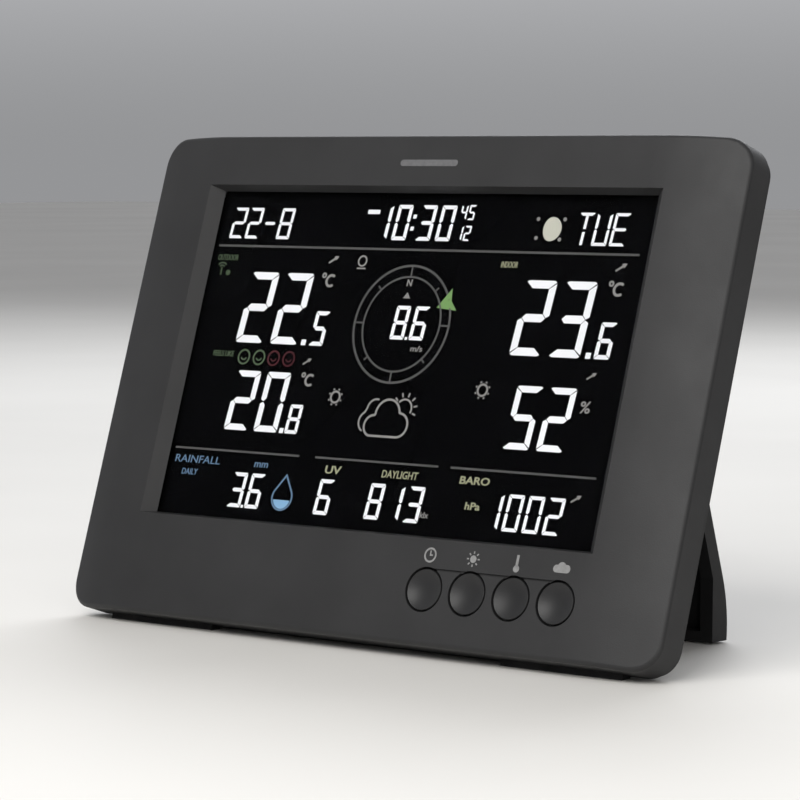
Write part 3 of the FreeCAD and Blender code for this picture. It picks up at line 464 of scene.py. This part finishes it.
def leaning(points, x, z):
    """Points of an upright shape, leaned like the figures and moved to x, z."""
    return [(x + px + pz * SLANT, z + pz) for px, pz in points]


def figures(pen, text, x, z, size):
    """Writes segment figures whose lower left corner is at x, z."""
    outlines = segment_outlines(size.width, size.height, size.stroke)
    for mark in text:
        for letter in FIGURES[mark]:
            pen.polygon(leaning(outlines[letter], x, z))
        x += size.width + size.gap


def dot(pen, x, z, side, lift=0.0):
    """A square dot, lifted over the foot of the figures at z."""
    top = lift + side
    pen.polygon(leaning([(0, lift), (side, lift), (side, top), (0, top)], x, z))


# ---- display content ---------------------------------------------------------------
# Places are millimetres on the face: x from its middle, z from its lower edge.
DATE = Size(9.0, 4.8, 0.88, 1.05)
CLOCK = Size(10.0, 5.0, 1.05, 1.75)
SECONDS = Size(4.2, 2.1, 0.5, 0.55)
DAY = Size(8.9, 4.8, 0.82, 0.9)
OUTDOOR = Size(20.4, 9.8, 2.1, 3.0)
INDOOR = Size(20.4, 9.9, 2.15, 3.0)
TENTH = Size(9.8, 4.9, 1.15, 1.0)
FELT = Size(17.0, 8.5, 1.75, 2.5)
FELT_TENTH = Size(8.2, 4.5, 1.0, 1.0)
HUMIDITY = Size(17.0, 8.4, 1.75, 2.4)
WIND = Size(9.4, 4.8, 1.05, 1.0)
RAIN = Size(9.8, 4.9, 1.05, 1.0)
LIGHT = Size(9.8, 5.0, 1.05, 1.75)
PRESSURE = Size(9.8, 5.0, 0.95, 1.5)
LABEL_SPIN = Matrix.Rotation(math.pi / 2, 4, "X")


def label(pen, text, x, z, height, width, bold=0.0):
    """Small plain lettering of a given size, with its lower left corner at x, z."""
    curve = bpy.data.curves.new("label", "FONT")
    curve.body = text
    curve.size = 1.0
    curve.offset = bold
    curve.extrude = pen.thickness / 2 / height
    curve.resolution_u = 3
    holder = bpy.data.objects.new("label", curve)
    data = bpy.data.meshes.new_from_object(holder)
    bpy.data.objects.remove(holder)
    bpy.data.curves.remove(curve)
    low_x = min(v.co.x for v in data.vertices)
    low_y = min(v.co.y for v in data.vertices)
    run = max(v.co.x for v in data.vertices) - low_x
    cap = max(v.co.y for v in data.vertices) - low_y
    lean = Matrix(((1, SLANT, 0, 0), (0, 1, 0, 0), (0, 0, 1, 0), (0, 0, 0, 1)))
    data.transform(Matrix.Translation((-low_x, -low_y, 0)))
    flat = lean @ Matrix.Diagonal((width / run, height / cap, height, 1))
    data.transform(Matrix.Translation((x, pen.y + pen.thickness / 2, z)) @ LABEL_SPIN @ flat)
    pen.sheet.mesh.from_mesh(data)
    bpy.data.meshes.remove(data)


def display_pens():
    """One pen per colour of light, on the display glass behind the window."""
    return {colour: Pen(PANEL_Y - GLYPH_T, GLYPH_T) for colour in INKS}


def degree_sign(pen, x, z, size):
    """A small ring and a C."""
    pen.ring(x + size * 0.14, z + size * 0.84, size * 0.13, size * 0.11, 20)
    points = arc(x + size * 0.72, z + size * 0.5, size * 0.36, 50, 310, 14)
    pen.line([(px + (pz - z) * SLANT, pz) for px, pz in points], size * 0.16)


def trend_arrow(pen, x, z, size):
    pen.line([(x, z), (x + size * 0.8, z + size * 0.5)], size * 0.16)
    pen.polygon([(x + size, z + size * 0.62), (x + size * 0.5, z + size * 0.6),
                 (x + size * 0.78, z + size * 0.22)])


def gear_sun(pen, x, z, radius):
    """Small sun: a ring with short rays."""
    pen.ring(x, z, radius * 0.62, radius * 0.22, 28)
    for index in range(8):
        angle = 45 * index + 22.5
        pen.line([ray(x, z, radius * 0.82, angle), ray(x, z, radius, angle)], radius * 0.2)


def top_row(pens):
    white, dim = pens["white"], pens["grey"]
    figures(white, "22-8", -71.0, 109.1, DATE)
    white.bar(-21.7, -17.5, 117.4, 1.2)
    clock_z = 109.5
    figures(white, "10", -18.5, clock_z, CLOCK)
    for lift in (2.8, 6.2):
        dot(white, -5.9, clock_z, 1.1, lift)
    figures(white, "30", -3.3, clock_z, CLOCK)
    figures(white, "45", 10.5, 115.5, SECONDS)
    figures(white, "12", 10.3, 109.7, SECONDS)
    x, z, radius, waxing = 41.7, 113.4, 3.3, 0.78
    bright = arc(x, z, radius, -90, 90, 24)
    shaded = [(x - waxing * (px - x), pz) for px, pz in arc(x, z, radius, 90, -90, 24)]
    pens["moon"].polygon(bright + shaded[1:-1])
    for x, z in ((36.9, 116.1), (37.3, 110.9), (45.6, 116.1), (45.0, 110.6)):
        dim.disc(x, z, 0.55, 12)
    figures(white, "TUE", 49.7, 109.1, DAY)
    pens["line"].bar(-74.0, 71.4, 106.9, 0.6)


def outdoor_block(pens):
    white, dim, leaf, red = (pens[c] for c in ("white", "grey", "leaf", "red"))
    label(leaf, "OUTDOOR", -73.4, 102.6, 1.7, 7.6, 0.01)
    mast = -71.2
    leaf.line([(mast, 98.3), (mast, 100.6)], 0.4)
    for radius in (1.1, 1.9):
        leaf.line(arc(mast, 100.0, radius, 40, 140), 0.35)
    leaf.disc(-68.5, 99.0, 0.8, 14)
    figures(white, "22", -60.2, 79.0, OUTDOOR)
    dot(white, -36.04, 79.0, 1.6)
    figures(white, "5", -33.2, 79.0, TENTH)
    degree_sign(dim, -33.2, 95.4, 4.3)
    trend_arrow(dim, -32.0, 102.6, 3.2)
    label(leaf, "FEELS LIKE", -67.5, 74.8, 1.6, 7.6, 0.01)
    for x, pen in ((-55.8, leaf), (-50.2, leaf), (-44.8, red), (-39.3, red)):
        pen.ring(x, 74.9, 2.0, 0.5, 32)
        pen.line(arc(x, 75.1, 1.0, 200, 340, 8), 0.35)
    trend_arrow(dim, -33.8, 73.6, 2.8)
    figures(white, "20", -57.7, 54.0, FELT)
    dot(white, -37.26, 54.0, 1.4)
    figures(white, "8", -35.4, 54.0, FELT_TENTH)
    degree_sign(dim, -33.2, 67.2, 4.1)
    gear_sun(dim, -19.8, 65.0, 2.5)


def wind_block(pens):
    white, dim, line, green = (pens[c] for c in ("white", "grey", "line", "green"))
    x, z = -2.1, 86.1
    line.ring(x, z, 16.3, 0.62, 96)
    line.ring(x, z, 13.2, 0.5, 96)
    for angle in range(0, 360, 45):
        line.line([ray(x, z, 13.4, angle), ray(x, z, 14.7 if angle % 90 else 16.0, angle)], 0.45)
    label(dim, "N", x - 0.9, z + 10.6, 1.9, 1.7, 0.02)
    dim.polygon([(x - 1.2, z + 7.2), (x + 1.2, z + 7.2), (x, z + 8.9)])
    figures(white, "8", x - 3.1, 81.8, WIND)
    dot(white, x + 2.18, 81.8, 0.8)
    figures(white, "6", x + 3.5, 81.8, WIND)
    label(dim, "m/s", x + 4.9, 78.7, 1.6, 4.0, 0.01)
    out = Vector(ray(0, 0, 1, 24))
    side = Vector((-out.y, out.x))
    centre = Vector((x, z)) + out * 15.4
    tip = centre - out * 3.4
    left, right = centre + out * 2.6 + side * 3.3, centre + out * 2.6 - side * 3.3
    green.polygon([tuple(left), tuple(centre + out * 1.6), tuple(right), tuple(tip)])
    dim.ring(-20.1, 103.4, 1.4, 0.45, 24)
    dim.bar(-21.6, -18.6, 101.3, 0.4)


def forecast_block(pens):
    """Cloud outline with a second cloud behind it and the sun behind its right shoulder."""
    dim = pens["grey"]
    front = cloud([(-4.9, 57.8, 2.9), (-0.5, 61.1, 4.1), (3.7, 58.3, 3.3)], 55.0)
    dim.line(front, 0.6, closed=True)
    dim.line(arc(-7.0, 58.8, 2.9, 245, 118, 10) + arc(-5.0, 62.3, 2.8, 175, 75, 10), 0.5)
    x, z = 4.7, 62.9
    dim.line(arc(x, z, 2.6, -25, 140, 14), 0.5)
    for angle in range(-20, 141, 32):
        dim.line([ray(x, z, 3.3, angle), ray(x, z, 4.5, angle)], 0.45)


def indoor_block(pens):
    white, dim, yellow = (pens[c] for c in ("white", "grey", "yellow"))
    label(yellow, "INDOOR", 27.6, 102.6, 1.7, 5.5, 0.01)
    figures(white, "23", 36.0, 79.0, INDOOR)
    dot(white, 60.56, 79.0, 1.6)
    figures(white, "6", 63.2, 79.0, TENTH)
    degree_sign(dim, 63.8, 95.4, 4.4)
    trend_arrow(dim, 64.9, 102.5, 3.3)
    gear_sun(dim, 29.7, 69.2, 2.5)
    figures(white, "52", 39.9, 54.0, HUMIDITY)
    label(dim, "%", 62.0, 64.6, 3.2, 3.2, 0.01)
    trend_arrow(dim, 62.4, 73.6, 2.8)


def bottom_row(pens):
    white, dim, yellow, blue = (pens[c] for c in ("white", "grey", "yellow", "blue"))
    for start, end in ((-74.0, -28.2), (-22.4, 20.2), (24.4, 71.3)):
        pens["line"].bar(start, end, 48.0, 0.55)
    label(blue, "RAINFALL", -73.2, 43.9, 2.1, 16.8)
    label(blue, "DAILY", -69.8, 40.5, 1.7, 5.8, 0.01)
    label(blue, "mm", -43.6, 44.0, 1.4, 4.9, 0.01)
    foot_z = 32.4
    figures(white, "3", -50.6, foot_z, RAIN)
    dot(white, -45.42, foot_z, 0.8)
    figures(white, "6", -44.2, foot_z, RAIN)
    x, z = -31.3, 32.7
    drop = arc(x, z + 3.5, 3.5, 150, 390, 26) + [(x + 0.2, z + 9.7)]
    blue.line(drop, 0.5, closed=True)
    pens["sky"].polygon(arc(x, z + 3.3, 2.95, 190, 350, 18))
    label(yellow, "UV", -18.1, 43.8, 2.2, 5.6, 0.02)
    figures(white, "6", -19.4, foot_z, LIGHT)
    label(yellow, "DAYLIGHT", 1.8, 43.9, 2.1, 12.2, 0.01)
    figures(white, "813", -1.6, foot_z, LIGHT)
    label(dim, "klx", 17.3, 34.0, 1.6, 2.8, 0.01)
    label(yellow, "BARO", 28.2, 43.9, 2.1, 9.8, 0.02)
    label(yellow, "hPa", 31.5, 37.2, 2.0, 4.9, 0.02)
    figures(white, "1002", 38.2, foot_z, PRESSURE)
    trend_arrow(dim, 64.9, 41.4, 3.0)


def build_display():
    pens = display_pens()
    for block in (top_row, outdoor_block, wind_block, forecast_block, indoor_block, bottom_row):
        block(pens)
    for colour, pen in pens.items():
        pen.sheet.finish("display_" + colour, INKS[colour], "console", "display")


# ---- print on the shell ------------------------------------------------------------
ICON_Z = 23.7                 # middle of the icons over the front buttons
FINE = 0.38                   # thinnest printed stroke


def button_places():
    """The front buttons' middles across the face, from left to right."""
    boxes = [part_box("front_button_%d" % (index + 1)) for index in range(4)]
    return [(low[0] + high[0]) / 2 / MM for low, high in boxes]


def button_icons():
    """Clock, lamp, thermometer and cloud above the four front buttons."""
    pen = Pen(FACE_Y - INK_T, INK_T)
    z = ICON_Z
    clock, lamp, thermometer, sky = button_places()
    pen.ring(clock, z, 1.75, 0.5, 32)
    pen.line([(clock, z + 1.2), (clock, z), (clock + 0.8, z)], FINE)
    pen.disc(lamp, z, 1.0, 20)
    for index in range(8):
        pen.line([ray(lamp, z, 1.4, 45 * index), ray(lamp, z, 2.05, 45 * index)], FINE)
    pen.disc(thermometer, z - 1.4, 0.95, 20)
    pen.line([(thermometer, z - 1.0), (thermometer, z + 2.2)], 0.8)
    puffs = [(sky - 1.6, z - 0.3, 1.0), (sky, z + 0.1, 1.35), (sky + 1.6, z - 0.25, 1.1)]
    pen.polygon(cloud(puffs, z - 1.3, 48))
    pen.sheet.finish("button_icons", PRINT, "console", "front_caps")


def maker_bar():
    """A plain faint bar at the top of the face, with rounded ends."""
    pen = Pen(FACE_Y - INK_T, INK_T)
    half, z, radius = 9.0, 130.0, 0.9
    pen.polygon(arc(half, z, radius, -90, 90, 10) + arc(-half, z, radius, 90, 270, 10))
    pen.sheet.finish("face_bar", FAINT_PRINT, "console", "front_caps")


REAR_MARK_Z = 101.0           # middle of the symbols above the rear controls
SLIDER_X = -26.0
RESET_X = -41.0
SEARCH_X = -50.0
SOCKET_X = -64.0
REAR_STROKE = 0.4


def rear_marks():
    """Plain symbols above the rear controls and the DC socket."""
    pen = Pen(REAR_Y, INK_T)
    z = REAR_MARK_Z
    for shift, radius in ((-3.0, 0.45), (0.0, 0.75), (3.0, 1.05)):
        pen.disc(SLIDER_X + shift, z, radius, 24)
    pen.line(arc(RESET_X, z, 1.5, 100, 400, 24), REAR_STROKE)
    pen.polygon([(RESET_X + 0.8, z + 2.3), (RESET_X - 1.2, z + 1.5), (RESET_X + 0.4, z + 0.7)])
    pen.disc(SEARCH_X, z - 1.2, 0.5, 16)
    for radius in (1.4, 2.4, 3.4):
        pen.line(arc(SEARCH_X, z - 1.4, radius, 50, 130, 10), REAR_STROKE)
    plug_z = z + 0.4
    pen.disc(SOCKET_X, plug_z, 0.6, 18)
    pen.line(arc(SOCKET_X, plug_z, 1.5, -50, 230, 24), REAR_STROKE)
    pen.bar(SOCKET_X - 2.9, SOCKET_X - 1.5, plug_z, REAR_STROKE)
    pen.bar(SOCKET_X + 1.5, SOCKET_X + 2.9, plug_z, REAR_STROKE)
    pen.sheet.finish("rear_marks", FAINT_PRINT, "console", "rear_caps")


def door_mark():
    """Plus sign in a ring on the battery door, for the way the cell goes in."""
    pen = Pen(REAR_Y, INK_T)
    x, z = 24.0, 107.0
    reach, stroke = 1.7, 0.6
    pen.ring(x, z, 2 * reach, 0.5, 48)
    pen.bar(x - reach, x + reach, z, stroke)
    pen.line([(x, z + stroke / 2), (x, z + reach)], stroke)
    pen.line([(x, z - reach), (x, z - stroke / 2)], stroke)
    pen.sheet.finish("door_mark", FAINT_PRINT, "battery_door", "rear_caps")


# ---- lights, floor and camera ------------------------------------------------------
FLOOR_HALF = 6.0              # metres
LAMP_AIM = (0, 0, 0.06)
LAMPS = (                     # name, place and size in metres, watts, colour
    ("key", (0.12, -1.0, 0.85), (1.1, 0.7), 14, (1.0, 0.99, 0.97)),
    ("fill", (1.0, -0.75, 0.5), (0.5, 0.7), 2.8, (1.0, 0.97, 0.93)),
    ("back", (-0.5, 1.1, 1.1), (1.2, 0.8), 13, (0.95, 0.97, 1.0)),
)


def area_light(name, place, size, power, colour):
    data = bpy.data.lights.new(name, "AREA")
    data.shape = "RECTANGLE"
    data.size, data.size_y = size
    data.energy = power
    data.color = colour
    lamp = bpy.data.objects.new(name, data)
    bpy.context.scene.collection.objects.link(lamp)
    lamp.location = place
    lamp.rotation_euler = (Vector(LAMP_AIM) - Vector(place)).to_track_quat("-Z", "Y").to_euler()


def studio_sky(brightest, low, high):
    """Sky that is brighter towards one side, like a room with one pale wall."""
    world = bpy.data.worlds.new("studio")
    world.use_nodes = True
    nodes, links = world.node_tree.nodes, world.node_tree.links
    coords = nodes.new("ShaderNodeTexCoord")
    side = nodes.new("ShaderNodeVectorMath")
    side.operation = "DOT_PRODUCT"
    side.inputs[1].default_value = brightest
    level = nodes.new("ShaderNodeMapRange")
    level.interpolation_type = "SMOOTHSTEP"
    level.inputs["From Min"].default_value = -0.1
    level.inputs["To Min"].default_value = low
    level.inputs["To Max"].default_value = high
    sky = nodes["Background"]
    sky.inputs["Color"].default_value = (0.96, 0.97, 1.0, 1.0)
    height = nodes.new("ShaderNodeSeparateXYZ")
    haze = nodes.new("ShaderNodeMapRange")
    haze.interpolation_type = "SMOOTHSTEP"
    haze.inputs["From Max"].default_value = 0.12
    haze.inputs["To Min"].default_value = 0.5
    haze.inputs["To Max"].default_value = 1.0
    total = nodes.new("ShaderNodeMath")
    total.operation = "MULTIPLY"
    links.new(coords.outputs["Generated"], side.inputs[0])
    links.new(coords.outputs["Generated"], height.inputs[0])
    links.new(side.outputs["Value"], level.inputs["Value"])
    links.new(height.outputs["Z"], haze.inputs["Value"])
    links.new(level.outputs["Result"], total.inputs[0])
    links.new(haze.outputs["Result"], total.inputs[1])
    links.new(total.outputs["Value"], sky.inputs["Strength"])
    return world


def build_stage():
    """Plain pale floor, even sky and soft studio lamps."""
    floor_data = bpy.data.meshes.new("floor")
    half = FLOOR_HALF
    floor_data.from_pydata([(-half, -half, 0), (half, -half, 0), (half, half, 0),
                            (-half, half, 0)], [], [(0, 1, 2, 3)])
    surface = Surface("floor_pale", Specular_IOR_Level=0.25)
    surface.feed(surface.ramp(surface.noise(3, 3.0), srgb(228, 226, 222), srgb(236, 234, 230)),
                 "Base Color")
    surface.feed(surface.span(surface.noise(20, 3.0), 0.55, 0.65), "Roughness")
    floor_data.materials.append(surface.material)
    floor = bpy.data.objects.new("floor", floor_data)
    bpy.context.scene.collection.objects.link(floor)
    bpy.context.scene.world = studio_sky((-0.6, 0.8, 0.0), 0.24, 0.62)
    for lamp in LAMPS:
        area_light(*lamp)


CAMERA_PLACE = (565.3, -670.7, -85.3)   # console coordinates, mm
CAMERA_AIM = (0.0, 3.0, 66.0)
CAMERA_LENS = 150.0


def build_camera():
    data = bpy.data.cameras.new("camera")
    data.lens = CAMERA_LENS
    data.clip_start, data.clip_end = 0.02, 50
    camera = bpy.data.objects.new("camera", data)
    bpy.context.scene.collection.objects.link(camera)
    place = TO_ROW @ Vector(CAMERA_PLACE)
    aim = TO_ROW @ Vector(CAMERA_AIM)
    camera.location = place
    camera.rotation_euler = (aim - place).to_track_quat("-Z", "Y").to_euler()
    bpy.context.scene.camera = camera


bpy.context.scene.view_settings.view_transform = "Standard"
build_camera()
dress_nodes()
build_display()
button_icons()
maker_bar()
rear_marks()
door_mark()
build_stage()
